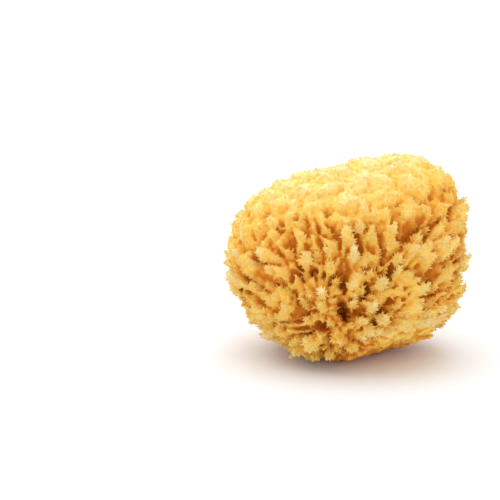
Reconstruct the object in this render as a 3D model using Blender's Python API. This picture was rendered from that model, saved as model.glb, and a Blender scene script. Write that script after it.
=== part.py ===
"""Natural bath sponge: one grown body of tufts and water channels, cut flat where it stood on the rock.

Metres, +Z up, -Y is the front. A smooth envelope about the body's middle is what the tuft tips reach.
Channels, grooves and large pores are sunk into it towards a growth point low in the front, so the tufts
lean away from there.
"""

from itertools import product

import bmesh
import bpy
import numpy as np
from mathutils import Vector
from mathutils.kdtree import KDTree

MM = 0.001

# The middle of the body stands above the base.
CENTRE = np.array([4.1, -0.6, 48.0]) * MM
# The broad section leans back: across is to the right, up lies in that section, out points to the front.
LEAN = np.radians(14)
ACROSS = np.array([1.0, 0.0, 0.0])
UP = np.array([0.0, np.sin(LEAN), np.cos(LEAN)])
OUT = np.array([0.0, -np.cos(LEAN), np.sin(LEAN)])
# How far the tips reach in the broad section, in mm every 20 degrees from the right side up over the crown.
REACH = np.array([60.5, 65.5, 70, 65.5, 57, 53, 56, 61.5, 66, 68, 65, 61, 58, 56.5, 52.5, 55, 64, 62.5]) * MM
FRONT_REACH = 48 * MM
BACK_REACH = 49 * MM
FULLNESS = 2.5
# Flat face left by the shears under the right side: outward direction, distance from the centre, and
# the power that rounds its edge.
TRIM_DIRECTION = np.array([0.40, -0.53, -0.75])
TRIM_DISTANCE = 50.5 * MM
TRIM_CRISPNESS = 24.0
# The side towards the rock is worn: direction of its middle, cosines where the wear starts and is full,
# and the share of the relief that is left there.
WORN_DIRECTION = np.array([0.32, -0.30, -0.90])
WORN_EDGE = (0.80, 0.94)
WORN_RELIEF = 0.25

# The tufts fan out over the surface from the root, and lean away from the growth point. Their rows widen
# up to about this angle from the root.
ROOT = -0.15 * ACROSS - 0.62 * UP + 0.77 * OUT
GROWTH_POINT = CENTRE + (-6 * ACROSS - 24 * UP - 12 * OUT) * MM
MEAN_RADIUS = 53 * MM
SPREAD = 0.95
# Tufts: pitch across, pitch away from the root, closest spacing in pitches, how far they differ in height,
# how far their sides and their lower ends fall away, and the share of a pitch over which neighbours merge.
TUFT_PITCH = 7.4 * MM
TUFT_LENGTH = 12.5 * MM
TUFT_SPACING = 0.76
TUFT_UNLIKENESS = 2.6 * MM
TUFT_DOME = 3.5 * MM
TUFT_ROUNDING = 1.6
TUFT_SLOPE = 3.2 * MM
TUFT_MERGING = 0.4
# Channels between the tufts: least and greatest depth, half of the greatest width and the width of their
# sides, in pitches, how far they close across the growth, and the pitch at which they open and close, with
# the noise values for shut and open.
CHANNEL_DEPTH = (1.0 * MM, 6.5 * MM)
CHANNEL_HALF_WIDTH = 0.14
CHANNEL_SIDE = 0.32
STACK_CLOSING = 0.85
CHANNEL_PITCH = 9.0 * MM
CHANNEL_OPENING = (0.35, 0.65)
# The crown is plush: its direction, the cosines where that starts and is full, how much fainter the tufts
# are there, and the pitch and depth of the mounds that it has instead.
PLUSH_DIRECTION = UP - 0.35 * ACROSS
PLUSH_RISE = (0.30, 0.70)
PLUSH_SOFTENING = 0.7
MOUND_PITCH = 11.0 * MM
MOUND_DEPTH = 3.5 * MM
# Broad lobes under the tufts, and the bends that take the rows of tufts off straight lines.
LOBE_PITCH = 24.0 * MM
LOBE_HEIGHT = 3.0 * MM
BEND_PITCH = (17.0 * MM, 6.0 * MM)
BEND = (0.26, 0.07)
# Large pores: across and up from the centre as seen from the front, width, height, depth in mm, tilt. Their
# sides start and end at these shares of the half width.
PORE_SIDE = (0.55, 1.35)
PORES = {
    "deep_pore": (-8.0, -25.0, 6.5, 13.0, 18.0, 14),
    "middle_slot": (-8.5, -7.0, 5.5, 15.0, 7.0, 8),
    "right_slot": (5.3, -12.6, 4.5, 13.5, 8.0, -4),
    "far_right_slot": (18.0, -2.0, 5.0, 12.0, 7.0, -8),
    "upper_crease": (-0.4, 14.0, 4.0, 17.0, 6.0, 14),
    "low_left_slot": (-20.2, -33.2, 6.5, 9.0, 9.0, 30),
    "left_pit": (-23.7, -2.0, 5.5, 5.5, 6.0, 0),
    "far_left_pit": (-42.5, -8.4, 4.5, 4.5, 6.0, 0),
    "low_right_pit": (15.0, -24.5, 7.0, 4.5, 8.0, -20),
    "rim_pit": (22.8, -29.7, 6.0, 4.0, 6.0, 20),
}

CHANNEL_SEED, TUFT_SEED, LOBE_SEED, BEND_SEED, MOUND_SEED = 3, 7, 11, 20, 41
CHANCE_SIZE = 48
CANDIDATES = 12000
ANGLE_STEPS = 721
SPHERE_SUBDIVISIONS = 7
KEPT_FACES = 0.116
BASE_CUTTER = 200 * MM


def unit(vectors):
    return vectors / np.linalg.norm(vectors, axis=-1, keepdims=True)


def ramp(low, high, value):
    """0 below low, 1 above high, and a smooth rise between."""
    share = np.clip((value - low) / (high - low), 0, 1)
    return share * share * (3 - 2 * share)


def soft_noise(points, seed):
    """Smooth noise from 0 to 1, with features one unit across."""
    chance = np.random.default_rng(seed).random((CHANCE_SIZE,) * 3)
    base = np.floor(points).astype(int)
    along = ramp(0, 1, points - base)
    total = np.zeros(len(points))
    for corner in product((0, 1), repeat=3):
        share = np.prod(np.where(corner, along, 1 - along), axis=-1)
        total += share * chance[tuple(((base + corner) % CHANCE_SIZE).T)]
    return total


def even_directions(count):
    """Directions spread evenly over a sphere, on a spiral."""
    turn = np.arange(count) * np.pi * (3 - np.sqrt(5))
    height = 1 - (2 * np.arange(count) + 1) / count
    width = np.sqrt(1 - height**2)
    return np.stack([width * np.cos(turn), width * np.sin(turn), height], axis=-1)


def section_reach(angle):
    """Reach of the broad section at an angle from the right side, on a smooth closed curve."""
    count = len(REACH)
    place = np.mod(angle / (2 * np.pi), 1) * count
    index = np.floor(place).astype(int)
    t = place - index
    before, start, end, after = (REACH[(index + step) % count] for step in (-1, 0, 1, 2))
    slope = (end - before) / 2
    next_slope = (after - start) / 2
    gap = end - start
    return start + t * (slope + t * (3 * gap - 2 * slope - next_slope + t * (slope + next_slope - 2 * gap)))


def envelope(direction):
    """How far the tuft tips reach from the growth centre, along each unit direction."""
    across, up, out = direction @ ACROSS, direction @ UP, direction @ OUT
    depth = np.where(out > 0, FRONT_REACH, BACK_REACH)
    in_section = np.hypot(across, up) / section_reach(np.arctan2(up, across))
    radius = (in_section**FULLNESS + np.abs(out / depth) ** FULLNESS) ** (-1 / FULLNESS)
    trim = TRIM_DISTANCE / np.maximum(direction @ unit(TRIM_DIRECTION), MM)
    return (radius**-TRIM_CRISPNESS + trim**-TRIM_CRISPNESS) ** (-1 / TRIM_CRISPNESS)


def growth_map(direction, pitch, length):
    """Places on the surface, counted in cells, and the way the tufts grow in that count.

    The cells have the given width at the root and widen away from it. They draw out to the given
    length along the lines that spread from the root.
    """
    root = unit(ROOT)
    along = direction @ root
    across = unit(direction - along[:, None] * root)
    angles = np.linspace(0, np.pi, ANGLE_STEPS)
    spread = SPREAD * np.tanh(angles / SPREAD) * np.tanh((np.pi - angles) / SPREAD)
    widening = np.gradient(spread, angles) / pitch
    forward = np.sqrt(np.maximum(length**-2 - widening**2, 0))
    travelled = np.cumsum(forward) * (angles[1] - angles[0])
    angle = np.arccos(np.clip(along, -1, 1))
    place = across * (np.interp(angle, angles, spread) / pitch)[:, None]
    place += np.interp(angle, angles, travelled)[:, None] * root
    way = across * np.interp(angle, angles, widening)[:, None]
    way += np.interp(angle, angles, forward)[:, None] * root
    return place * MEAN_RADIUS, unit(way)


def pore_depth(direction):
    """How deep the large pores go, along each unit direction."""
    depth = np.zeros(len(direction))
    for across, up, width, height, pore, tilt in PORES.values():
        flat = np.hypot(across, up) * MM / section_reach(np.arctan2(up, across))
        out = FRONT_REACH * (1 - flat**FULLNESS) ** (1 / FULLNESS)
        middle = across * MM * ACROSS + up * MM * UP + out * OUT
        reach = np.linalg.norm(middle)
        axis = middle / reach
        side = unit(np.cross(UP, axis))
        rise = np.cross(axis, side)
        turn = np.radians(tilt)
        offset = (direction - axis) * reach / MM
        wide = (offset @ side) * np.cos(turn) + (offset @ rise) * np.sin(turn)
        high = (offset @ rise) * np.cos(turn) - (offset @ side) * np.sin(turn)
        inside = np.hypot(wide / (width / 2), high / (height / 2))
        facing = direction @ axis > 0
        depth = np.maximum(depth, np.where(facing, pore * MM * (1 - ramp(*PORE_SIDE, inside)), 0))
    return depth


def cell_pattern(direction, pitch, length, seed):
    """Cells scattered over the growth map at an even spacing.

    Gives how far each direction lies from the wall of its cell, how squarely that wall lies across the
    growth, how far up the cell it is, and the cell's own number.
    """
    random = np.random.default_rng(seed)
    candidates = random.permutation(even_directions(CANDIDATES))
    kept = np.zeros((0, 3))
    for place in growth_map(candidates, pitch, length)[0]:
        if len(kept) == 0 or np.linalg.norm(kept - place, axis=-1).min() > TUFT_SPACING:
            kept = np.vstack([kept, place])
    tree = KDTree(len(kept))
    for index, place in enumerate(kept):
        tree.insert(place, index)
    tree.balance()

    points, way = growth_map(direction, pitch, length)
    nearest = [tree.find_n(point, 2) for point in points]
    index = np.array([[found[1] for found in pair] for pair in nearest])
    distance = np.array([[found[2] for found in pair] for pair in nearest])
    apart = kept[index[:, 0]] - kept[index[:, 1]]
    to_wall = (distance[:, 1] ** 2 - distance[:, 0] ** 2) / (2 * np.linalg.norm(apart, axis=-1))
    stacked = (unit(apart) * way).sum(axis=-1) ** 2
    own = 0.5 + 0.5 * ramp(0, TUFT_MERGING, to_wall)
    along = ((points[:, None] - kept[index]) * way[:, None]).sum(axis=-1)
    numbers = random.random(len(kept))[index]
    along, number = (value[:, 0] * own + value[:, 1] * (1 - own) for value in (along, numbers))
    return to_wall, stacked, along, number


def bent(direction):
    """Directions shifted to and fro along the surface, which bends the walls between the tufts."""
    place = direction * MEAN_RADIUS
    shifted = direction
    for step, (pitch, amount) in enumerate(zip(BEND_PITCH, BEND)):
        seeds = BEND_SEED + 3 * step + np.arange(3)
        shift = np.stack([soft_noise(place / pitch, seed) for seed in seeds], axis=-1)
        shifted = shifted + amount * (shift - 0.5)
    return unit(shifted)


def depth_below_tips(direction):
    """How far the grown surface lies below the tips, along each unit direction."""
    place = direction * MEAN_RADIUS
    warped = bent(direction)
    to_wall, stacked, along, number = cell_pattern(warped, TUFT_PITCH, TUFT_LENGTH, TUFT_SEED)
    openness = ramp(*CHANNEL_OPENING, soft_noise(place / CHANNEL_PITCH, CHANNEL_SEED))
    openness *= 1 - STACK_CLOSING * stacked
    shallow, deep = CHANNEL_DEPTH
    crest = ramp(0, CHANNEL_SIDE, to_wall - CHANNEL_HALF_WIDTH * openness)
    channel = (shallow + (deep - shallow) * openness) * (1 - crest)
    dome = TUFT_DOME * (1 - np.clip(2 * to_wall, 0, 1)) ** TUFT_ROUNDING
    slope = TUFT_SLOPE * np.clip(0.5 - along, 0, 1)
    plush = ramp(*PLUSH_RISE, direction @ unit(PLUSH_DIRECTION))
    tuft = (channel + dome + slope + TUFT_UNLIKENESS * number) * (1 - PLUSH_SOFTENING * plush)
    mound_wall = cell_pattern(warped, MOUND_PITCH, MOUND_PITCH, MOUND_SEED)[0]
    mound = MOUND_DEPTH * plush * (1 - np.clip(2 * mound_wall, 0, 1)) ** 2
    worn = ramp(*WORN_EDGE, direction @ unit(WORN_DIRECTION))
    relief = (tuft + mound) * (1 - (1 - WORN_RELIEF) * worn)
    return relief + pore_depth(direction)


def grown_mesh():
    """A sphere of directions, moved out to the grown surface."""
    mesh = bpy.data.meshes.new("sponge")
    shape = bmesh.new()
    bmesh.ops.create_icosphere(shape, subdivisions=SPHERE_SUBDIVISIONS, radius=1.0)
    direction = unit(np.array([v.co for v in shape.verts]))
    lobe = LOBE_HEIGHT * soft_noise(direction * MEAN_RADIUS / LOBE_PITCH, LOBE_SEED)
    tip = CENTRE + direction * (envelope(direction) - lobe)[:, None]
    growth = unit(tip - GROWTH_POINT)
    for vertex, place in zip(shape.verts, tip - growth * depth_below_tips(direction)[:, None]):
        vertex.co = Vector(place)
    shape.to_mesh(mesh)
    shape.free()
    return mesh


def sponge_fibre():
    material = bpy.data.materials.new("sponge fibre")
    material.use_nodes = True
    shader = material.node_tree.nodes["Principled BSDF"]
    shader.inputs["Base Color"].default_value = (0.83, 0.50, 0.15, 1)
    shader.inputs["Roughness"].default_value = 0.85
    shader.inputs["Metallic"].default_value = 0.0
    return material


def main():
    for obj in list(bpy.data.objects):
        bpy.data.objects.remove(obj)
    parts = bpy.data.collections.new("sea sponge")
    cutters = bpy.data.collections.new("cutters")
    for collection in (parts, cutters):
        bpy.context.scene.collection.children.link(collection)

    sponge = bpy.data.objects.new("sponge", grown_mesh())
    sponge.data.materials.append(sponge_fibre())
    parts.objects.link(sponge)

    bpy.ops.mesh.primitive_cube_add(size=BASE_CUTTER, location=(0, 0, -BASE_CUTTER / 2))
    ground = bpy.context.object
    ground.name = "base_cutter"
    ground.hide_render = True
    ground.display_type = "WIRE"
    for collection in list(ground.users_collection):
        collection.objects.unlink(ground)
    cutters.objects.link(ground)

    thin = sponge.modifiers.new("fewer faces", "DECIMATE")
    thin.ratio = KEPT_FACES
    cut = sponge.modifiers.new("cut base", "BOOLEAN")
    cut.operation = "DIFFERENCE"
    cut.object = ground


main()
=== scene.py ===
"""Looks of the natural bath sponge: a dense body of tufts, channels and pores, with toothed fingers on it.

Metres, +Z up, -Y is the front. The body lies a little below the surface of the solid it stands for. Rounded
fingers stand on it and lean away from its root. Body and fingers are grown together into one skin, and fine
teeth stand like combs along the crests of that skin.
"""

from itertools import product

import bmesh
import bpy
import numpy as np
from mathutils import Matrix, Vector
from mathutils.kdtree import KDTree


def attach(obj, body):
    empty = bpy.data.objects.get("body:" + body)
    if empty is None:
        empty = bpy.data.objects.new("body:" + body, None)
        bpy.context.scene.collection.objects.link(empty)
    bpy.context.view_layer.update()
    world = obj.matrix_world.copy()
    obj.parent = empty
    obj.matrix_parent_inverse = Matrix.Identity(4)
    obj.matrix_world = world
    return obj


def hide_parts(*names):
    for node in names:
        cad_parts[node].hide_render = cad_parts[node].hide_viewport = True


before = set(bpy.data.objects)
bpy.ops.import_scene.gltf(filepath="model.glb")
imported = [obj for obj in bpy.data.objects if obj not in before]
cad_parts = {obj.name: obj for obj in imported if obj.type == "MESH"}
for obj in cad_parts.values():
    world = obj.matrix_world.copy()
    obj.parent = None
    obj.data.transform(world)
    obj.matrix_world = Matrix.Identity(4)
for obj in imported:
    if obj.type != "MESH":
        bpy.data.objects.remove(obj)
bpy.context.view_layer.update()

MM = 0.001

# Form of the sponge, with nearly the values of its solid: the middle stands 0.8 mm further left here, the
# crown is a little broader and calmer, the large pores have steeper sides, and the deep one is wider and
# less deep.
# The middle of the body stands above the base.
CENTRE = np.array([3.3, -0.6, 48.0]) * MM
# The broad section leans back: across is to the right, up lies in that section, out points to the front.
LEAN = np.radians(14)
ACROSS = np.array([1.0, 0.0, 0.0])
UP = np.array([0.0, np.sin(LEAN), np.cos(LEAN)])
OUT = np.array([0.0, -np.cos(LEAN), np.sin(LEAN)])
# How far the tips reach in the broad section, in mm every 20 degrees from the right side up over the crown.
REACH = np.array([60.5, 65.5, 70, 65.5, 57, 53, 56, 61.5, 66, 68, 65, 61, 58, 56.5, 52.5, 55, 64, 62.5]) * MM
FRONT_REACH = 48 * MM
BACK_REACH = 49 * MM
FULLNESS = 2.5
# Flat face left by the shears under the right side: outward direction, distance from the centre, and
# the power that rounds its edge.
TRIM_DIRECTION = np.array([0.40, -0.53, -0.75])
TRIM_DISTANCE = 50.5 * MM
TRIM_CRISPNESS = 24.0
# The side towards the rock is worn: direction of its middle, cosines where the wear starts and is full,
# and the share of the relief that is left there.
WORN_DIRECTION = np.array([0.32, -0.30, -0.90])
WORN_EDGE = (0.80, 0.94)
WORN_RELIEF = 0.25

# The tufts fan out over the surface from the root, and lean away from the growth point. Their rows widen
# up to about this angle from the root.
ROOT = -0.15 * ACROSS - 0.62 * UP + 0.77 * OUT
GROWTH_POINT = CENTRE + (-6 * ACROSS - 24 * UP - 12 * OUT) * MM
MEAN_RADIUS = 53 * MM
SPREAD = 0.95
# Tufts: pitch across, pitch away from the root, closest spacing in pitches, how far they differ in height,
# how far their sides and their lower ends fall away, and the share of a pitch over which neighbours merge.
TUFT_PITCH = 7.4 * MM
TUFT_LENGTH = 12.5 * MM
TUFT_SPACING = 0.76
TUFT_UNLIKENESS = 2.6 * MM
TUFT_DOME = 3.5 * MM
TUFT_ROUNDING = 1.6
TUFT_SLOPE = 3.2 * MM
TUFT_MERGING = 0.4
# Channels between the tufts: least and greatest depth, half of the greatest width and the width of their
# sides, in pitches, how far they close across the growth, and the pitch at which they open and close, with
# the noise values for shut and open.
CHANNEL_DEPTH = (1.0 * MM, 6.5 * MM)
CHANNEL_HALF_WIDTH = 0.14
CHANNEL_SIDE = 0.32
STACK_CLOSING = 0.85
CHANNEL_PITCH = 9.0 * MM
CHANNEL_OPENING = (0.35, 0.65)
# The crown is plush: its direction, the cosines where that starts and is full, how much fainter the tufts
# are there, and the pitch and depth of the mounds that it has instead.
PLUSH_DIRECTION = UP - 0.2 * ACROSS
PLUSH_RISE = (0.1, 0.8)
PLUSH_SOFTENING = 0.8
MOUND_PITCH = 11.0 * MM
MOUND_DEPTH = 3.5 * MM
# Broad lobes under the tufts, and the bends that take the rows of tufts off straight lines.
LOBE_PITCH = 24.0 * MM
LOBE_HEIGHT = 3.0 * MM
BEND_PITCH = (17.0 * MM, 6.0 * MM)
BEND = (0.26, 0.07)
# Large pores: across and up from the centre as seen from the front, width, height, depth in mm, tilt. Their
# sides start and end at these shares of the half width.
PORE_SIDE = (0.75, 1.2)
PORES = {
    "deep_pore": (-8.0, -25.0, 8.0, 16.0, 14.0, 14),
    "middle_slot": (-8.5, -7.0, 5.5, 15.0, 7.0, 8),
    "right_slot": (5.3, -12.6, 4.5, 13.5, 8.0, -4),
    "far_right_slot": (18.0, -2.0, 5.0, 12.0, 7.0, -8),
    "upper_crease": (-0.4, 14.0, 4.0, 17.0, 6.0, 14),
    "low_left_slot": (-20.2, -33.2, 6.5, 9.0, 9.0, 30),
    "left_pit": (-23.7, -2.0, 5.5, 5.5, 6.0, 0),
    "far_left_pit": (-42.5, -8.4, 4.5, 4.5, 6.0, 0),
    "low_right_pit": (15.0, -24.5, 7.0, 4.5, 8.0, -20),
    "rim_pit": (22.8, -29.7, 6.0, 4.0, 6.0, 20),
}

# Seeds, the table of chance, and how finely directions and angles are tried.
CHANNEL_SEED, TUFT_SEED, LOBE_SEED, BEND_SEED, MOUND_SEED = 3, 7, 11, 20, 41
CHANCE_SIZE = 48
CANDIDATES = 12000
ANGLE_STEPS = 721

# The body before its fingers grow: how far it lies below the solid, whose tips the fingers and teeth reach.
BODY_SUBDIVISIONS = 8
TIP_ROOM = 2.2 * MM

# Body and fingers as one skin: the cubes that it is worked out in, rounds of smoothing, and faces kept.
VOXEL = 0.5 * MM
SMOOTHING_STEPS = 3
SKIN_FACES = 194000
# Lumps of the skin, coarse and fine: pitch and height.
GRAIN_PITCH = (3.0 * MM, 1.4 * MM)
GRAIN_RISE = (0.9 * MM, 0.5 * MM)
# The crown and the worn side are smoothed further, by this share on the crown, and carry a nap.
SOFT_STEPS = 20
PLUSH_SOFTNESS = 0.8
NAP_PITCH = 1.3 * MM
NAP_RISE = 1.1 * MM
GRAIN_SEED = 31

# Fingers: spacing across and away from the root, and where they may stand: the deepest pore, the least
# height above the ground and the greatest wear.
FINGER_PITCH = 4.4 * MM
FINGER_LENGTH = 7.0 * MM
FINGER_IN_PORE = 1.0 * MM
FINGER_ABOVE_GROUND = 4 * MM
FINGER_ON_WORN = 0.1
# Lean from upright in degrees, the share of it lost on the crown, how far the lean wanders from the root's
# lines along the surface and from finger to finger, and how the finger curls up again.
FINGER_LEAN = (20, 60)
PLUSH_UPRIGHT = 0.5
FINGER_WANDER = 0.9
FINGER_TURN = 0.25
FINGER_CURL = 0.12
# Reach over the body, foot inside it, half width, the share of that in the thickness, unevenness of the
# sides, and the outline in shares of the length and of the half width.
FINGER_REACH = (1.5 * MM, 5.5 * MM)
FINGER_FOOT = 3.5 * MM
FINGER_HALF_WIDTH = (1.1 * MM, 2.8 * MM)
FINGER_FLATNESS = (0.42, 0.75)
FINGER_UNEVENNESS = 0.12
FINGER_OUTLINE = ((0.0, 0.8), (0.3, 1.0), (0.55, 1.0), (0.78, 0.8), (0.93, 0.48))
FINGER_SIDES = 12
# Fingers are shorter on the crown, at the root, whose edge is given in cosines, and towards the worn side.
PLUSH_SHORTENING = 0.7
ROOT_SHORTENING = 0.5
ROOT_EDGE = (0.75, 0.98)
WORN_SHORTENING = 5
FINGER_SEED = 23
WANDER_SEED = 29

# Teeth stand where the skin bulges out of its own smoothed form: rounds of that smoothing, the bulge where
# teeth start and where they stand closest, the bulge of a plain margin, and how bare the skin is past that,
# on the crown and on the worn side.
CREST_STEPS = 10
CREST_RISE = (0.14 * MM, 0.38 * MM)
MARGIN_RISE = 0.5 * MM
TIP_BARENESS = 0.8
PLUSH_BARENESS = 0.75
WORN_BARENESS = 2
TOOTH_ABOVE_GROUND = 2 * MM
# Closest spacing, length, the share of it from the thinnest stands to the closest, thickness and its range,
# foot in the skin, and the outline in shares of the length and of the thickness.
TOOTH_SPACING = 1.0 * MM
TOOTH_LENGTH = (0.8 * MM, 2.2 * MM)
TOOTH_GROWTH = (0.45, 1.0)
TOOTH_THICKNESS = 0.34 * MM
TOOTH_VARIETY = (0.75, 1.25)
TOOTH_SINK = 0.5 * MM
TOOTH_OUTLINE = ((0.0, 1.1), (0.55, 0.75))
TOOTH_SIDES = 4
# How much a tooth leans straight out, away from the root, and by chance.
TOOTH_OUTWARD = 0.15
TOOTH_SWEEP = 0.6
TOOTH_TILT = 0.1647
TOOTH_SEED = 37

# Depth that counts for the colour as painted shade, on top of the true depth below the tips, which is itself
# painted
# as shade in the hollows and pores: less, as painted light, on what bulges, on the crown and at the points
# of the teeth, more, as painted shade, on the worn side and near the ground.
LEAST_SHADE = 0.7 * MM
# Painted light on what bulges, by how far it bulges.
CREST_PAINTED_LIGHT = 3.2
# Share of that painted light left off on the crown.
PLUSH_EVENNESS = 0.6
# Painted light on the crown, where the top is lit most.
CROWN_PAINTED_LIGHT = 3.3 * MM
# Painted light at the points of teeth and fingers.
TIP_PAINTED_LIGHT = 0.7 * MM
# Painted shade on the worn underside, which lies in shadow.
WORN_SIDE_PAINTED_SHADE = 2.2 * MM
# Painted shade near the ground, fading out by this height.
BASE_PAINTED_SHADE = 5.0 * MM
BASE_HEIGHT = 22 * MM
DEEPEST_SHADE = 10 * MM

# Colours of the fibre from the tips down to the deepest shade: palest at the tips as painted light, dark
# brown at the deepest painted shade in hollows and pores.
FIBRE_COLOURS_WITH_PAINTED_SHADE = (
    (0.0, (0.98, 0.745, 0.39)),
    (0.15, (0.975, 0.705, 0.27)),
    (0.35, (0.965, 0.655, 0.185)),
    (0.65, (0.935, 0.56, 0.092)),
    (1.0, (0.70, 0.24, 0.016)),
)
# Grain of the fibre: pitch, detail, height on the body and on the teeth, and how far it mottles the colour.
FIBRE_GRAIN = 0.9 * MM
GRAIN_DETAIL = 3
BODY_GRAIN_HEIGHT = 0.5 * MM
TOOTH_GRAIN_HEIGHT = 0.1 * MM
MOTTLE = 0.22
FIBRE_ROUGHNESS = 0.75
FIBRE_SHINE = 0.2
# How far light passes into the fibre, and the shares of that in red, green and blue.
GLOW_DEPTH = 3.5 * MM
GLOW_TONES = (1.0, 0.86, 0.63)

# Plain pale floor, even light from all round and a broad soft lamp overhead, with its spread and its tilts
# in degrees.
FLOOR_SIZE = 20
FLOOR_COLOUR = (0.88, 0.90, 0.93, 1)
FLOOR_ROUGHNESS = 0.9
FLOOR_SHINE = 0.1
SKY_STRENGTH = 1.03
LAMP_STRENGTH = 1.1
LAMP_SPREAD = 70
LAMP_TILT = (-8, -8, 0)

# The photograph's view: degrees that it looks down, lens in mm, pixels across, pixels to a metre at the
# sponge, the point looked at and the pixel where it lies.
LOOK_DOWN = 14
LENS = 85
PHOTO_PIXELS = 500
PIXELS_PER_METRE = 2020
AIM = np.array([0, 0, 49]) * MM
AIM_PIXEL = np.array([346, 258])

# Most triangles in one mesh of shells, and the upward share past which a direction is near vertical.
PIECE_TRIANGLES = 195000
NEAR_VERTICAL = 0.9


def unit(vectors):
    return vectors / np.linalg.norm(vectors, axis=-1, keepdims=True)


def ramp(low, high, value):
    """0 below low, 1 above high, and a smooth rise between."""
    share = np.clip((value - low) / (high - low), 0, 1)
    return share * share * (3 - 2 * share)


def soft_noise(points, seed):
    """Smooth noise from 0 to 1, with features one unit across."""
    chance = np.random.default_rng(seed).random((CHANCE_SIZE,) * 3)
    base = np.floor(points).astype(int)
    along = ramp(0, 1, points - base)
    total = np.zeros(len(points))
    for corner in product((0, 1), repeat=3):
        share = np.prod(np.where(corner, along, 1 - along), axis=-1)
        total += share * chance[tuple(((base + corner) % CHANCE_SIZE).T)]
    return total


def even_directions(count):
    """Directions spread evenly over a sphere, on a spiral."""
    turn = np.arange(count) * np.pi * (3 - np.sqrt(5))
    height = 1 - (2 * np.arange(count) + 1) / count
    width = np.sqrt(1 - height**2)
    return np.stack([width * np.cos(turn), width * np.sin(turn), height], axis=-1)


def section_reach(angle):
    """Reach of the broad section at an angle from the right side, on a smooth closed curve."""
    count = len(REACH)
    place = np.mod(angle / (2 * np.pi), 1) * count
    index = np.floor(place).astype(int)
    t = place - index
    before, start, end, after = (REACH[(index + step) % count] for step in (-1, 0, 1, 2))
    slope = (end - before) / 2
    next_slope = (after - start) / 2
    gap = end - start
    return start + t * (slope + t * (3 * gap - 2 * slope - next_slope + t * (slope + next_slope - 2 * gap)))


def envelope(direction):
    """How far the tuft tips reach from the centre, along each unit direction."""
    across, up, out = direction @ ACROSS, direction @ UP, direction @ OUT
    depth = np.where(out > 0, FRONT_REACH, BACK_REACH)
    in_section = np.hypot(across, up) / section_reach(np.arctan2(up, across))
    radius = (in_section**FULLNESS + np.abs(out / depth) ** FULLNESS) ** (-1 / FULLNESS)
    trim = TRIM_DISTANCE / np.maximum(direction @ unit(TRIM_DIRECTION), MM)
    return (radius**-TRIM_CRISPNESS + trim**-TRIM_CRISPNESS) ** (-1 / TRIM_CRISPNESS)


def growth_map(direction, pitch, length):
    """Places on the surface, counted in cells, and the way the tufts grow in that count.

    The cells have the given width at the root and widen away from it. They draw out to the given
    length along the lines that spread from the root.
    """
    root = unit(ROOT)
    along = direction @ root
    across = unit(direction - along[:, None] * root)
    angles = np.linspace(0, np.pi, ANGLE_STEPS)
    spread = SPREAD * np.tanh(angles / SPREAD) * np.tanh((np.pi - angles) / SPREAD)
    widening = np.gradient(spread, angles) / pitch
    forward = np.sqrt(np.maximum(length**-2 - widening**2, 0))
    travelled = np.cumsum(forward) * (angles[1] - angles[0])
    angle = np.arccos(np.clip(along, -1, 1))
    place = across * (np.interp(angle, angles, spread) / pitch)[:, None]
    place += np.interp(angle, angles, travelled)[:, None] * root
    way = across * np.interp(angle, angles, widening)[:, None]
    way += np.interp(angle, angles, forward)[:, None] * root
    return place * MEAN_RADIUS, unit(way)


def plush_share(direction):
    """1 on the plush crown and 0 away from it."""
    return ramp(*PLUSH_RISE, direction @ unit(PLUSH_DIRECTION))


def worn_share(direction):
    """1 on the side that is worn and 0 away from it."""
    return ramp(*WORN_EDGE, direction @ unit(WORN_DIRECTION))


def pore_depth(direction):
    """How deep the large pores go, along each unit direction."""
    depth = np.zeros(len(direction))
    for across, up, width, height, pore, tilt in PORES.values():
        flat = np.hypot(across, up) * MM / section_reach(np.arctan2(up, across))
        out = FRONT_REACH * (1 - flat**FULLNESS) ** (1 / FULLNESS)
        middle = across * MM * ACROSS + up * MM * UP + out * OUT
        reach = np.linalg.norm(middle)
        axis = middle / reach
        side = unit(np.cross(UP, axis))
        rise = np.cross(axis, side)
        turn = np.radians(tilt)
        offset = (direction - axis) * reach / MM
        wide = (offset @ side) * np.cos(turn) + (offset @ rise) * np.sin(turn)
        high = (offset @ rise) * np.cos(turn) - (offset @ side) * np.sin(turn)
        inside = np.hypot(wide / (width / 2), high / (height / 2))
        facing = direction @ axis > 0
        depth = np.maximum(depth, np.where(facing, pore * MM * (1 - ramp(*PORE_SIDE, inside)), 0))
    return depth


def tree_of(points):
    tree = KDTree(len(points))
    for index, point in enumerate(points):
        tree.insert(point, index)
    tree.balance()
    return tree


class Scatter:
    """Places scattered over the growth map at an even spacing, each with a number of its own."""

    def __init__(self, pitch, length, seed):
        random = np.random.default_rng(seed)
        candidates = random.permutation(even_directions(CANDIDATES))
        self.pitch, self.length = pitch, length
        kept = np.zeros((0, 3))
        chosen = []
        for index, place in enumerate(growth_map(candidates, pitch, length)[0]):
            if len(kept) == 0 or np.linalg.norm(kept - place, axis=-1).min() > TUFT_SPACING:
                kept = np.vstack([kept, place])
                chosen.append(index)
        self.places = kept
        self.directions = candidates[chosen]
        self.numbers = random.random(len(kept))
        self.tree = tree_of(kept)

    def cells(self, direction):
        """How far each direction lies from the wall of its cell, how squarely that wall lies across the
        growth, how far up the cell it is, and the cell's number."""
        points, way = growth_map(direction, self.pitch, self.length)
        nearest = [self.tree.find_n(point, 2) for point in points]
        index = np.array([[found[1] for found in pair] for pair in nearest])
        distance = np.array([[found[2] for found in pair] for pair in nearest])
        apart = self.places[index[:, 0]] - self.places[index[:, 1]]
        to_wall = (distance[:, 1] ** 2 - distance[:, 0] ** 2) / (2 * np.linalg.norm(apart, axis=-1))
        stacked = (unit(apart) * way).sum(axis=-1) ** 2
        own = 0.5 + 0.5 * ramp(0, TUFT_MERGING, to_wall)
        along = ((points[:, None] - self.places[index]) * way[:, None]).sum(axis=-1)
        numbers = self.numbers[index]
        along, number = (value[:, 0] * own + value[:, 1] * (1 - own) for value in (along, numbers))
        return to_wall, stacked, along, number


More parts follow.
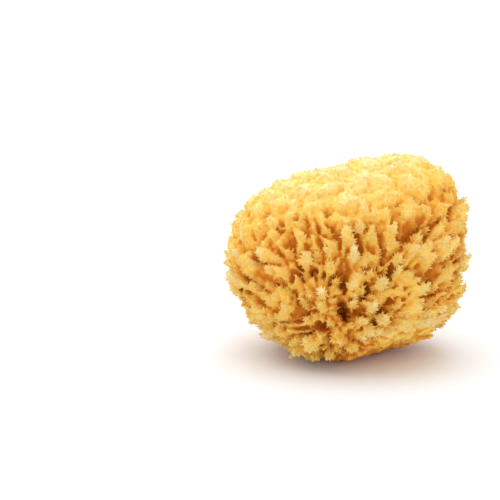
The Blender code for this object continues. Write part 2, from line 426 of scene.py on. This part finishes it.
TUFTS = Scatter(TUFT_PITCH, TUFT_LENGTH, TUFT_SEED)
MOUNDS = Scatter(MOUND_PITCH, MOUND_PITCH, MOUND_SEED)
FINGERS = Scatter(FINGER_PITCH, FINGER_LENGTH, FINGER_SEED)


def bent(direction):
    """Directions shifted to and fro along the surface, which bends the walls between the tufts."""
    place = direction * MEAN_RADIUS
    shifted = direction
    for step, (pitch, amount) in enumerate(zip(BEND_PITCH, BEND)):
        seeds = BEND_SEED + 3 * step + np.arange(3)
        shift = np.stack([soft_noise(place / pitch, seed) for seed in seeds], axis=-1)
        shifted = shifted + amount * (shift - 0.5)
    return unit(shifted)


def depth_below_tips(direction):
    """How far the grown surface lies below the tips, along each unit direction."""
    place = direction * MEAN_RADIUS
    warped = bent(direction)
    to_wall, stacked, along, number = TUFTS.cells(warped)
    openness = ramp(*CHANNEL_OPENING, soft_noise(place / CHANNEL_PITCH, CHANNEL_SEED))
    openness *= 1 - STACK_CLOSING * stacked
    shallow, deep = CHANNEL_DEPTH
    crest = ramp(0, CHANNEL_SIDE, to_wall - CHANNEL_HALF_WIDTH * openness)
    channel = (shallow + (deep - shallow) * openness) * (1 - crest)
    dome = TUFT_DOME * (1 - np.clip(2 * to_wall, 0, 1)) ** TUFT_ROUNDING
    slope = TUFT_SLOPE * np.clip(0.5 - along, 0, 1)
    plush = plush_share(direction)
    tuft = (channel + dome + slope + TUFT_UNLIKENESS * number) * (1 - PLUSH_SOFTENING * plush)
    mound_wall = MOUNDS.cells(warped)[0]
    mound = MOUND_DEPTH * plush * (1 - np.clip(2 * mound_wall, 0, 1)) ** 2
    worn = worn_share(direction)
    relief = (tuft + mound) * (1 - (1 - WORN_RELIEF) * worn)
    return relief + pore_depth(direction)


def tip_reach(direction):
    """How far the tips reach from the centre, with the broad lobes under them."""
    lobe = LOBE_HEIGHT * soft_noise(direction * MEAN_RADIUS / LOBE_PITCH, LOBE_SEED)
    return envelope(direction) - lobe


def surface(direction):
    """Points of the body's surface, and the way its tufts grow there."""
    tip = CENTRE + direction * tip_reach(direction)[:, None]
    growth = unit(tip - GROWTH_POINT)
    return tip - growth * (TIP_ROOM + depth_below_tips(direction))[:, None], growth


def away_from_root(direction):
    """The way that leads away from the root along the surface."""
    root = unit(ROOT)
    return unit(direction * (direction @ root)[:, None] - root)


def new_object(name, mesh, material):
    """A smooth object in the scene, made of the given mesh and material."""
    piece = bpy.data.objects.new(name, mesh)
    bpy.context.scene.collection.objects.link(piece)
    mesh.materials.append(material)
    mesh.shade_smooth()
    return piece


def points_of(mesh):
    flat = np.zeros(len(mesh.vertices) * 3)
    mesh.vertices.foreach_get("co", flat)
    return flat.reshape(-1, 3)


def sunk_attribute(mesh, shade):
    """Stores how deep each point counts for painted shade, in shares of the deepest shade, for the material.
    """
    if "sunk" in mesh.attributes:
        mesh.attributes.remove(mesh.attributes["sunk"])
    attribute = mesh.attributes.new("sunk", "FLOAT", "POINT")
    attribute.data.foreach_set("value", (shade / DEEPEST_SHADE).astype(np.float32))


def apply_modifiers(piece):
    """Gives the piece the mesh that its modifiers make, and takes them off."""
    graph = bpy.context.evaluated_depsgraph_get()
    mesh = bpy.data.meshes.new_from_object(piece.evaluated_get(graph), depsgraph=graph)
    old = piece.data
    piece.modifiers.clear()
    piece.data = mesh
    bpy.data.meshes.remove(old)


def body_mesh():
    """The body without its fingers: a sphere of directions moved out to the surface."""
    mesh = bpy.data.meshes.new("sponge_body")
    shape = bmesh.new()
    bmesh.ops.create_icosphere(shape, subdivisions=BODY_SUBDIVISIONS, radius=1.0)
    shape.to_mesh(mesh)
    shape.free()
    points = surface(unit(points_of(mesh)))[0]
    mesh.vertices.foreach_set("co", points.ravel())
    return mesh


def tapered_shells(name, rings, tips, shade):
    """Closed shells, one to a stack of rings, capped at the first ring and drawn to a tip past the last.

    They are shared out over as many meshes as the limit on triangles asks for.
    """
    count, levels, sides = rings.shape[:3]
    per_shell = levels * sides + 1
    step = np.arange(sides)
    after = (step + 1) % sides
    faces = [list(step[::-1])]
    for level in range(levels - 1):
        low = level * sides
        high = low + sides
        faces += np.stack([low + step, low + after, high + after, high + step], axis=-1).tolist()
    last = (levels - 1) * sides
    faces += np.stack([last + step, last + after, np.full(sides, levels * sides)], axis=-1).tolist()
    points = np.concatenate([rings.reshape(count, -1, 3), tips[:, None]], axis=1)
    shade = np.repeat(shade[:, None], per_shell, axis=1)
    # Painted light: the point of each shell is paler than its foot.
    shade[:, -1] -= TIP_PAINTED_LIGHT
    per_mesh = PIECE_TRIANGLES // (2 * sides * levels - 2)
    meshes = []
    for number, start in enumerate(range(0, count, per_mesh)):
        group = points[start:start + per_mesh]
        shifts = range(0, len(group) * per_shell, per_shell)
        group_faces = [[corner + shift for corner in face] for shift in shifts for face in faces]
        mesh = bpy.data.meshes.new(f"{name}_{number}")
        mesh.from_pydata(group.reshape(-1, 3), [], group_faces)
        sunk_attribute(mesh, shade[start:start + per_mesh].ravel())
        meshes.append(mesh)
    return meshes


def cones(name, foot, lean, length, thickness, shade):
    """Closed tapered cones that start a little inside what they stand on."""
    first, second = tangents(lean)
    turns = np.arange(TOOTH_SIDES) * 2 * np.pi / TOOTH_SIDES
    ring = first[:, None] * np.cos(turns)[None, :, None] + second[:, None] * np.sin(turns)[None, :, None]
    foot = foot - lean * TOOTH_SINK
    whole = length + TOOTH_SINK
    rows = []
    for share, width in TOOTH_OUTLINE:
        middle = foot + lean * (whole * share)[:, None]
        rows.append(middle[:, None] + ring * (thickness * width)[:, None, None])
    return tapered_shells(name, np.stack(rows, axis=1), foot + lean * whole[:, None], shade)


def joined(meshes, name):
    """One mesh in place of several."""
    shape = bmesh.new()
    for mesh in meshes:
        shape.from_mesh(mesh)
        bpy.data.meshes.remove(mesh)
    whole = bpy.data.meshes.new(name)
    shape.to_mesh(whole)
    shape.free()
    return whole


def set_points(mesh, points):
    mesh.vertices.foreach_set("co", points.ravel())
    mesh.update()


def normals_of(mesh):
    flat = np.zeros(len(mesh.vertices) * 3)
    mesh.vertex_normals.foreach_get("vector", flat)
    return flat.reshape(-1, 3)


def smoothed(mesh, points, steps):
    """The points after they have moved to the middle of their neighbours a number of times."""
    pairs = np.zeros(len(mesh.edges) * 2, dtype=int)
    mesh.edges.foreach_get("vertices", pairs)
    start, end = pairs.reshape(-1, 2).T
    both, other = np.concatenate([start, end]), np.concatenate([end, start])
    count = np.bincount(both, minlength=len(points))[:, None]
    for _ in range(steps):
        total = [np.bincount(both, points[other, axis], len(points)) for axis in range(3)]
        points = (points + np.stack(total, axis=-1) / count) / 2
    return points


def grown_together(mesh, material):
    """The body and all that stands on it as one skin, flattened where the sponge stands."""
    piece = new_object("sponge_body", mesh, material)
    skin = piece.modifiers.new("one skin", "REMESH")
    skin.mode = "VOXEL"
    skin.voxel_size = VOXEL
    skin.use_smooth_shade = True
    apply_modifiers(piece)
    mesh = piece.data
    points = smoothed(mesh, points_of(mesh), SMOOTHING_STEPS)
    direction = unit(points - CENTRE)
    plush = plush_share(direction)
    worn = worn_share(direction)
    soft = np.maximum(PLUSH_SOFTNESS * plush, worn)[:, None]
    points += soft * (smoothed(mesh, points, SOFT_STEPS) - points)
    set_points(mesh, points)
    normals = normals_of(mesh)
    for step, (pitch, rise) in enumerate(zip(GRAIN_PITCH, GRAIN_RISE)):
        points += normals * (rise * (soft_noise(points / pitch, GRAIN_SEED + step) - 0.5))[:, None]
    nap = NAP_RISE * np.maximum(plush, worn)
    nap *= soft_noise(points / NAP_PITCH, GRAIN_SEED + len(GRAIN_PITCH)) - 0.5
    points += normals * nap[:, None]
    set_points(mesh, points)
    thin = piece.modifiers.new("fewer faces", "DECIMATE")
    thin.ratio = SKIN_FACES / (2 * len(mesh.polygons))
    apply_modifiers(piece)
    points = points_of(piece.data)
    points[:, 2] = np.maximum(points[:, 2], 0)
    set_points(piece.data, points)
    return piece


def between(limits, share):
    low, high = limits
    return low + (high - low) * share


def finger_meshes():
    """Rounded fingers that stand on the body and lean away from its root."""
    random = np.random.default_rng(FINGER_SEED + 1)
    direction = FINGERS.directions
    base, growth = surface(direction)
    worn = worn_share(direction)
    standing = (pore_depth(direction) < FINGER_IN_PORE) & (worn < FINGER_ON_WORN)
    standing &= base[:, 2] > FINGER_ABOVE_GROUND
    direction, base, growth, worn = (value[standing] for value in (direction, base, growth, worn))
    count = len(base)
    place = direction * MEAN_RADIUS / BEND_PITCH[0]
    wander = np.stack([soft_noise(place, WANDER_SEED + axis) for axis in range(3)], axis=-1) - 0.5
    way = away_from_root(direction) + FINGER_WANDER * wander + random.normal(0, FINGER_TURN, (count, 3))
    way = unit(way - (way * growth).sum(axis=-1)[:, None] * growth)
    plush = plush_share(direction)
    lean = np.radians(between(FINGER_LEAN, random.random(count)) * (1 - PLUSH_UPRIGHT * plush))
    axis = growth * np.cos(lean)[:, None] + way * np.sin(lean)[:, None]
    side = np.cross(growth, way)
    face = np.cross(axis, side)
    reach = between(FINGER_REACH, random.random(count)) * (1 - PLUSH_SHORTENING * plush)
    reach *= 1 - WORN_SHORTENING * worn
    reach *= 1 - ROOT_SHORTENING * ramp(*ROOT_EDGE, direction @ unit(ROOT))
    width = between(FINGER_HALF_WIDTH, random.random(count))
    thickness = width * between(FINGER_FLATNESS, random.random(count))
    length = reach + FINGER_FOOT
    shares = np.array([share for share, _ in FINGER_OUTLINE])
    widths = np.array([outline for _, outline in FINGER_OUTLINE])

    def middle(share):
        """Points on the middle lines of the fingers, at the given shares of their lengths."""
        rise = length[:, None] * share
        straight = (base - axis * FINGER_FOOT)[:, None] + axis[:, None] * rise[..., None]
        return straight + growth[:, None] * (FINGER_CURL * rise * share)[..., None]

    turns = np.arange(FINGER_SIDES) * 2 * np.pi / FINGER_SIDES
    uneven = 1 + random.normal(0, FINGER_UNEVENNESS, (count, len(shares), FINGER_SIDES))
    wide = (width[:, None] * widths)[..., None] * np.cos(turns) * uneven
    thick = (thickness[:, None] * widths)[..., None] * np.sin(turns) * uneven
    rings = middle(np.repeat(shares[None], count, axis=0))[:, :, None]
    rings = rings + side[:, None, None] * wide[..., None] + face[:, None, None] * thick[..., None]
    return tapered_shells("fingers", rings, middle(np.ones((count, 1)))[:, 0], np.zeros(count))


def shade_of(points, rise):
    """How deep the points of the skin count for painted shade, less by painted light with the bulge of the
    skin there.
    """
    offset = points - CENTRE
    direction = unit(offset)
    plush = plush_share(direction)
    crest_painted_light = CREST_PAINTED_LIGHT * (1 - PLUSH_EVENNESS * plush)
    # Painted shade in hollows and pores: the deeper below the tips, the darker the colour.
    shade = LEAST_SHADE + tip_reach(direction) - np.linalg.norm(offset, axis=-1)
    # Painted light on what bulges.
    shade -= crest_painted_light * np.minimum(rise, MARGIN_RISE)
    # Painted shade on the worn underside, painted light on the crown.
    shade += WORN_SIDE_PAINTED_SHADE * worn_share(direction) - CROWN_PAINTED_LIGHT * plush**2
    # Painted shade near the ground: darker towards the bottom.
    return shade + BASE_PAINTED_SHADE * (1 - ramp(0, BASE_HEIGHT, points[:, 2]))


def teeth_on(body, material):
    """Teeth along the crests of the body's skin, each pointing the way its crest bulges."""
    random = np.random.default_rng(TOOTH_SEED)
    points = points_of(body.data)
    normals = normals_of(body.data)
    bulge = points - smoothed(body.data, points, CREST_STEPS)
    rise = (bulge * normals).sum(axis=-1)
    # Painted shade and light of the skin, stored for its colour and handed on to the teeth.
    shade = shade_of(points, rise)
    sunk_attribute(body.data, shade)
    direction = unit(points - CENTRE)
    chance = ramp(*CREST_RISE, rise) * (1 - TIP_BARENESS * ramp(MARGIN_RISE, 2 * MARGIN_RISE, rise))
    chance *= np.maximum(1 - WORN_BARENESS * worn_share(direction), 0)
    chance *= 1 - PLUSH_BARENESS * plush_share(direction)
    growing = random.random(len(points)) < chance
    chosen = random.permutation(np.flatnonzero(growing & (points[:, 2] > TOOTH_ABOVE_GROUND)))
    cell = np.floor(points[chosen] / TOOTH_SPACING).astype(int)
    chosen = chosen[np.unique(cell, axis=0, return_index=True)[1]]
    count = len(chosen)
    lean = unit(bulge[chosen]) + TOOTH_OUTWARD * normals[chosen]
    lean += TOOTH_SWEEP * away_from_root(direction[chosen])
    lean = unit(lean + random.normal(0, TOOTH_TILT, (count, 3)))
    length = between(TOOTH_LENGTH, random.random(count)) * between(TOOTH_GROWTH, chance[chosen])
    thickness = TOOTH_THICKNESS * between(TOOTH_VARIETY, random.random(count))
    meshes = cones("teeth", points[chosen], lean, length, thickness, shade[chosen])
    return [new_object(mesh.name, mesh, material) for mesh in meshes]


def tangents(direction):
    """Two unit vectors across each direction."""
    helper = np.where(np.abs(direction[:, 2:]) < NEAR_VERTICAL, [[0.0, 0.0, 1.0]], [[1.0, 0.0, 0.0]])
    first = unit(np.cross(helper, direction))
    return first, np.cross(direction, first)


def fibre_look():
    """Node group: the fibre's colour by its painted shade, pale with painted light to dark with painted
    shade, and its fine grain.
    """
    group = bpy.data.node_groups.new("fibre look", "ShaderNodeTree")
    sockets = (
        ("Painted Shade", "INPUT", "NodeSocketFloat"),
        ("Grain Height", "INPUT", "NodeSocketFloat"),
        ("Colour", "OUTPUT", "NodeSocketColor"),
        ("Normal", "OUTPUT", "NodeSocketVector"),
    )
    for name, way, kind in sockets:
        group.interface.new_socket(name, in_out=way, socket_type=kind)
    start = group.nodes.new("NodeGroupInput")
    end = group.nodes.new("NodeGroupOutput")
    colour = group.nodes.new("ShaderNodeValToRGB")
    ramp_stops = colour.color_ramp.elements
    while len(ramp_stops) < len(FIBRE_COLOURS_WITH_PAINTED_SHADE):
        ramp_stops.new(0.5)
    for stop, (place, tone) in zip(ramp_stops, FIBRE_COLOURS_WITH_PAINTED_SHADE):
        stop.position = place
        stop.color = (*tone, 1)
    coordinates = group.nodes.new("ShaderNodeTexCoord")
    grain = group.nodes.new("ShaderNodeTexNoise")
    grain.inputs["Scale"].default_value = 1 / FIBRE_GRAIN
    grain.inputs["Detail"].default_value = GRAIN_DETAIL
    bump = group.nodes.new("ShaderNodeBump")
    mottle = group.nodes.new("ShaderNodeMath")
    mottle.operation = "MULTIPLY_ADD"
    mottle.inputs[1].default_value = MOTTLE
    shift = group.nodes.new("ShaderNodeMath")
    shift.operation = "ADD"
    shift.inputs[1].default_value = -MOTTLE / 2
    group.links.new(start.outputs["Painted Shade"], shift.inputs[0])
    group.links.new(grain.outputs["Fac"], mottle.inputs[0])
    group.links.new(shift.outputs["Value"], mottle.inputs[2])
    group.links.new(mottle.outputs["Value"], colour.inputs["Fac"])
    group.links.new(colour.outputs["Color"], end.inputs["Colour"])
    group.links.new(coordinates.outputs["Object"], grain.inputs["Vector"])
    group.links.new(grain.outputs["Fac"], bump.inputs["Height"])
    group.links.new(start.outputs["Grain Height"], bump.inputs["Distance"])
    group.links.new(bump.outputs["Normal"], end.inputs["Normal"])
    return group


def fibre_material(name, look, grain_height, glow):
    """The fibre, with light passing through it by the given share."""
    material = bpy.data.materials.new(name)
    material.use_nodes = True
    nodes = material.node_tree.nodes
    links = material.node_tree.links
    shader = nodes["Principled BSDF"]
    # The painted shade stored on the mesh drives the colour ramp.
    sunk = nodes.new("ShaderNodeAttribute")
    sunk.attribute_name = "sunk"
    fibre = nodes.new("ShaderNodeGroup")
    fibre.node_tree = look
    fibre.inputs["Grain Height"].default_value = grain_height
    links.new(sunk.outputs["Fac"], fibre.inputs["Painted Shade"])
    links.new(fibre.outputs["Colour"], shader.inputs["Base Color"])
    links.new(fibre.outputs["Normal"], shader.inputs["Normal"])
    shader.inputs["Roughness"].default_value = FIBRE_ROUGHNESS
    shader.inputs["Subsurface Weight"].default_value = glow
    shader.inputs["Subsurface Radius"].default_value = GLOW_TONES
    shader.inputs["Subsurface Scale"].default_value = GLOW_DEPTH
    shader.inputs["Specular IOR Level"].default_value = FIBRE_SHINE
    return material


def floor():
    bpy.ops.mesh.primitive_plane_add(size=FLOOR_SIZE)
    sheet = bpy.context.object
    sheet.name = "floor"
    material = bpy.data.materials.new("pale floor")
    material.use_nodes = True
    shader = material.node_tree.nodes["Principled BSDF"]
    shader.inputs["Base Color"].default_value = FLOOR_COLOUR
    shader.inputs["Roughness"].default_value = FLOOR_ROUGHNESS
    shader.inputs["Specular IOR Level"].default_value = FLOOR_SHINE
    sheet.data.materials.append(material)


def lights():
    world = bpy.data.worlds.new("studio")
    bpy.context.scene.world = world
    world.use_nodes = True
    sky = world.node_tree.nodes["Background"]
    sky.inputs["Color"].default_value = (1, 1, 1, 1)
    sky.inputs["Strength"].default_value = SKY_STRENGTH
    key = bpy.data.lights.new("overhead softbox", "SUN")
    key.energy = LAMP_STRENGTH
    key.angle = np.radians(LAMP_SPREAD)
    lamp = bpy.data.objects.new("overhead softbox", key)
    bpy.context.scene.collection.objects.link(lamp)
    lamp.rotation_euler = np.radians(LAMP_TILT)
    bpy.context.scene.view_settings.view_transform = "Standard"


def camera():
    """Looks at the sponge as the photograph does: from the front and a little above."""
    elevation = np.radians(LOOK_DOWN)
    lens = bpy.data.cameras.new("camera")
    lens.lens = LENS
    viewer = bpy.data.objects.new("camera", lens)
    bpy.context.scene.collection.objects.link(viewer)
    bpy.context.scene.camera = viewer
    focal_pixels = PHOTO_PIXELS * lens.lens / lens.sensor_width
    distance = focal_pixels / PIXELS_PER_METRE
    right, down = (AIM_PIXEL - PHOTO_PIXELS / 2) / PIXELS_PER_METRE
    forward = np.array([0, np.cos(elevation), -np.sin(elevation)])
    up = np.array([0, np.sin(elevation), np.cos(elevation)])
    viewer.location = AIM - distance * forward - right * ACROSS + down * up
    viewer.rotation_euler = Vector(forward).to_track_quat("-Z", "Y").to_euler()


def main():
    camera()
    lights()
    floor()
    look = fibre_look()
    body_fibre = fibre_material("body fibre", look, BODY_GRAIN_HEIGHT, 1.0)
    tooth_fibre = fibre_material("tooth fibre", look, TOOTH_GRAIN_HEIGHT, 0)
    body = grown_together(joined([body_mesh(), *finger_meshes()], "sponge_body"), body_fibre)
    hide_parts("sponge")
    for piece in [body, *teeth_on(body, tooth_fibre)]:
        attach(piece, "root")


main()
